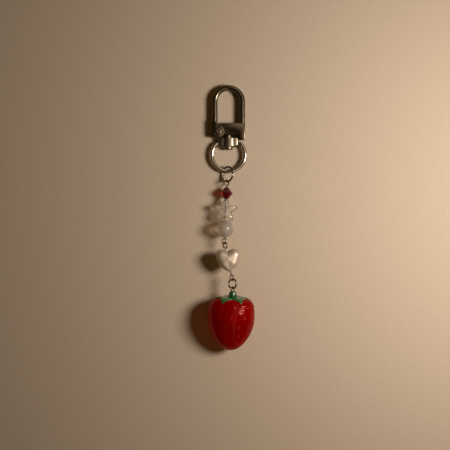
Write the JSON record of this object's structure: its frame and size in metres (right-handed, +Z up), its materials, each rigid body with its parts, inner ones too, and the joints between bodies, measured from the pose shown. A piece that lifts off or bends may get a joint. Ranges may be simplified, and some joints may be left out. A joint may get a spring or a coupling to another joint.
{
  "type": "beaded keychain",
  "caption": "Snap clasp with a swivel ring, carrying linked eye pins strung with faceted, star, round and heart beads and a glossy resin strawberry charm.",
  "frame": {"origin": "centre of the bounding box in plan, at the level of the surface the keychain lies on", "axes": "+Y along the keychain towards the clasp, +X to the right seen from above, +Z up out of the surface"},
  "size_m": [0.0211, 0.1219, 0.016],
  "materials": {
    "clasp_metal": "polished nickel plate over die-cast zinc, with fine handling scratches",
    "rivet_metal": "peened rivet head, textured and slightly tarnished",
    "spring_steel": "bright drawn spring wire",
    "barrel_metal": "polished dark nickel plate",
    "ring_metal": "polished nickel-plated wire",
    "pin_metal": "nickel-plated wire, slightly tarnished",
    "ruby_crystal": "dark ruby facetted crystal, glossy",
    "clear_acrylic": "clear moulded acrylic, glossy",
    "milky_glass": "milky translucent glass, glossy",
    "pearl_plastic": "imitation pearl coat, satin gloss",
    "strawberry_resin": "translucent red resin with a wet gloss",
    "leaf_resin": "translucent green resin, glossy",
    "stem_resin": "dark green resin, glossy"
  },
  "bodies": {
    "clasp": {"clasp_frame": "clasp_metal", "gate_rivet": "rivet_metal", "gate_spring": "spring_steel"},
    "gate_arm": {"gate": "clasp_metal"},
    "swivel": {"swivel_barrel": "barrel_metal", "swivel_washer": "spring_steel"},
    "ring": {"swivel_ring": "ring_metal"},
    "jump_ring": {"upper_jump_ring": "ring_metal"},
    "upper_pin": {"upper_eye_pin": "pin_metal"},
    "bicone": {"bicone_bead": "ruby_crystal"},
    "star": {"star_bead": "clear_acrylic"},
    "round": {"round_bead": "milky_glass"},
    "lower_pin": {"lower_eye_pin": "pin_metal"},
    "heart": {"heart_bead": "pearl_plastic"},
    "charm_ring": {"charm_jump_ring": "ring_metal"},
    "strawberry": {"charm_eye": "pin_metal", "strawberry_body": "strawberry_resin", "strawberry_calyx": "leaf_resin", "strawberry_stem": "stem_resin"}
  },
  "joints": [
    {"name": "gate_hinge", "type": "hinge", "parent": "clasp", "child": "gate_arm", "pos_m": [-0.00595, 0.0397, 0.00225], "axis": [0, 0, -1], "range_deg": [0, 32], "stiffness_Nm_per_rad": 0.002, "springref_deg": -20.05, "deforming": ["gate_spring"]},
    {"name": "swivel_spin", "type": "hinge", "parent": "clasp", "child": "swivel", "pos_m": [-0.0013, 0.03675, 0.00225], "axis": [0, 1, 0], "continuous": true},
    {"name": "ring_flip", "type": "hinge", "parent": "swivel", "child": "ring", "pos_m": [-0.0013, 0.034, 0.00225], "axis": [1, 0, 0], "range_deg": [-80, 80]},
    {"name": "jump_ring_swing", "type": "hinge", "parent": "ring", "child": "jump_ring", "pos_m": [-0.0013, 0.02125, 0.00225], "axis": [-1, 0, 0], "range_deg": [-5, 60]},
    {"name": "upper_pin_swing", "type": "hinge", "parent": "jump_ring", "child": "upper_pin", "pos_m": [-0.00203, 0.01635, 0.00336], "axis": [0.7226, 0.0441, 0.6898], "range_deg": [-50, 50]},
    {"name": "bicone_spin", "type": "hinge", "parent": "upper_pin", "child": "bicone", "pos_m": [-0.00205, 0.01593, 0.00342], "axis": [-0.045, -0.992, 0.1178], "continuous": true},
    {"name": "star_spin", "type": "hinge", "parent": "upper_pin", "child": "star", "pos_m": [-0.00205, 0.01593, 0.00342], "axis": [-0.045, -0.992, 0.1178], "continuous": true},
    {"name": "round_spin", "type": "hinge", "parent": "upper_pin", "child": "round", "pos_m": [-0.00205, 0.01593, 0.00342], "axis": [-0.045, -0.992, 0.1178], "continuous": true},
    {"name": "lower_pin_swing", "type": "hinge", "parent": "upper_pin", "child": "lower_pin", "pos_m": [-0.00333, -0.01222, 0.00676], "axis": [-0.7026, 0.1153, 0.7022], "range_deg": [-50, 50]},
    {"name": "heart_spin", "type": "hinge", "parent": "lower_pin", "child": "heart", "pos_m": [-0.00289, -0.01275, 0.00683], "axis": [0.2065, -0.9713, 0.1178], "continuous": true},
    {"name": "charm_ring_swing", "type": "hinge", "parent": "lower_pin", "child": "charm_ring", "pos_m": [0.00053, -0.02885, 0.00878], "axis": [0.6082, 0.0331, -0.7931], "range_deg": [-50, 50]},
    {"name": "strawberry_swing", "type": "hinge", "parent": "charm_ring", "child": "strawberry", "pos_m": [0.00068, -0.03236, 0.00919], "axis": [-0.7894, -0.1402, -0.5976], "range_deg": [-45, 45]}
  ]
}
